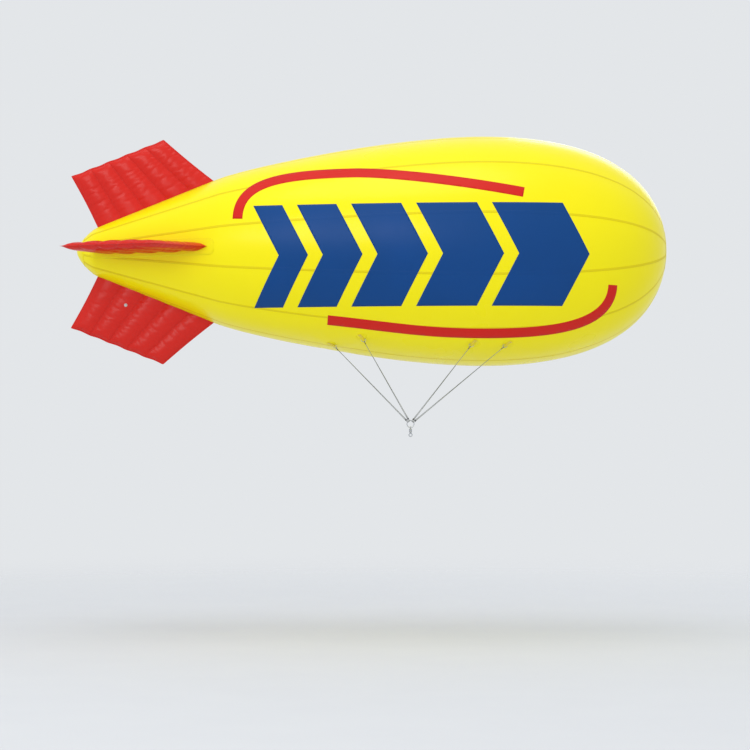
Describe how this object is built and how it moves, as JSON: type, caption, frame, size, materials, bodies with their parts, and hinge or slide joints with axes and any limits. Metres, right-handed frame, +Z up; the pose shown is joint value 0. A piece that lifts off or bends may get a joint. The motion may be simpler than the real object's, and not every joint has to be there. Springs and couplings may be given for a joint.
{
  "type": "tethered advertising blimp balloon",
  "caption": "Helium advertising blimp with a teardrop envelope, inflated tail fins, printed stripes and chevrons, and a rope bridle that ends in a ring and a swivel eye.",
  "frame": {"origin": "the envelope's centre of buoyancy, on its long axis, where the air carries it", "axes": "+X along the long axis towards the nose, +Y to port, +Z up"},
  "size_m": [6.0678, 2.335, 3.054],
  "materials": {
    "yellow_film": "glossy welded film",
    "red_film": "glossy welded film",
    "red_print": "screen printed film",
    "blue_print": "screen printed film",
    "webbing": "welded patch with sewn webbing",
    "cord": "braided",
    "steel": "polished stainless",
    "valve_plastic": "moulded"
  },
  "bodies": {
    "balloon": {"envelope": "yellow_film", "nose_cap": "yellow_film", "tail_cap": "yellow_film", "fill_valve": "valve_plastic", "fill_valve_cap": "valve_plastic", "fin_top": "red_film", "fin_port": "red_film", "fin_bottom": "red_film", "fin_starboard": "red_film", "stripe_upper_starboard": "red_print", "stripe_lower_starboard": "red_print", "chevron_starboard_1": "blue_print", "chevron_starboard_2": "blue_print", "chevron_starboard_3": "blue_print", "chevron_starboard_4": "blue_print", "chevron_starboard_5": "blue_print", "stripe_upper_port": "red_print", "stripe_lower_port": "red_print", "chevron_port_1": "blue_print", "chevron_port_2": "blue_print", "chevron_port_3": "blue_print", "chevron_port_4": "blue_print", "chevron_port_5": "blue_print", "load_patch_starboard_1": "webbing", "d_ring_starboard_1": "steel", "bridle_leg_starboard_1": "cord", "load_patch_starboard_2": "webbing", "d_ring_starboard_2": "steel", "bridle_leg_starboard_2": "cord", "load_patch_starboard_3": "webbing", "d_ring_starboard_3": "steel", "bridle_leg_starboard_3": "cord", "load_patch_starboard_4": "webbing", "d_ring_starboard_4": "steel", "bridle_leg_starboard_4": "cord", "load_patch_port_1": "webbing", "d_ring_port_1": "steel", "bridle_leg_port_1": "cord", "load_patch_port_2": "webbing", "d_ring_port_2": "steel", "bridle_leg_port_2": "cord", "load_patch_port_3": "webbing", "d_ring_port_3": "steel", "bridle_leg_port_3": "cord", "load_patch_port_4": "webbing", "d_ring_port_4": "steel", "bridle_leg_port_4": "cord", "bridle_ring": "steel", "swivel_barrel": "steel"},
    "tether_swivel": {"swivel_eye": "steel"}
  },
  "joints": [
    {"name": "swivel_turn", "type": "hinge", "parent": "balloon", "child": "tether_swivel", "pos_m": [-0.13, 0, -1.838], "axis": [0, 0, 1], "continuous": true}
  ]
}
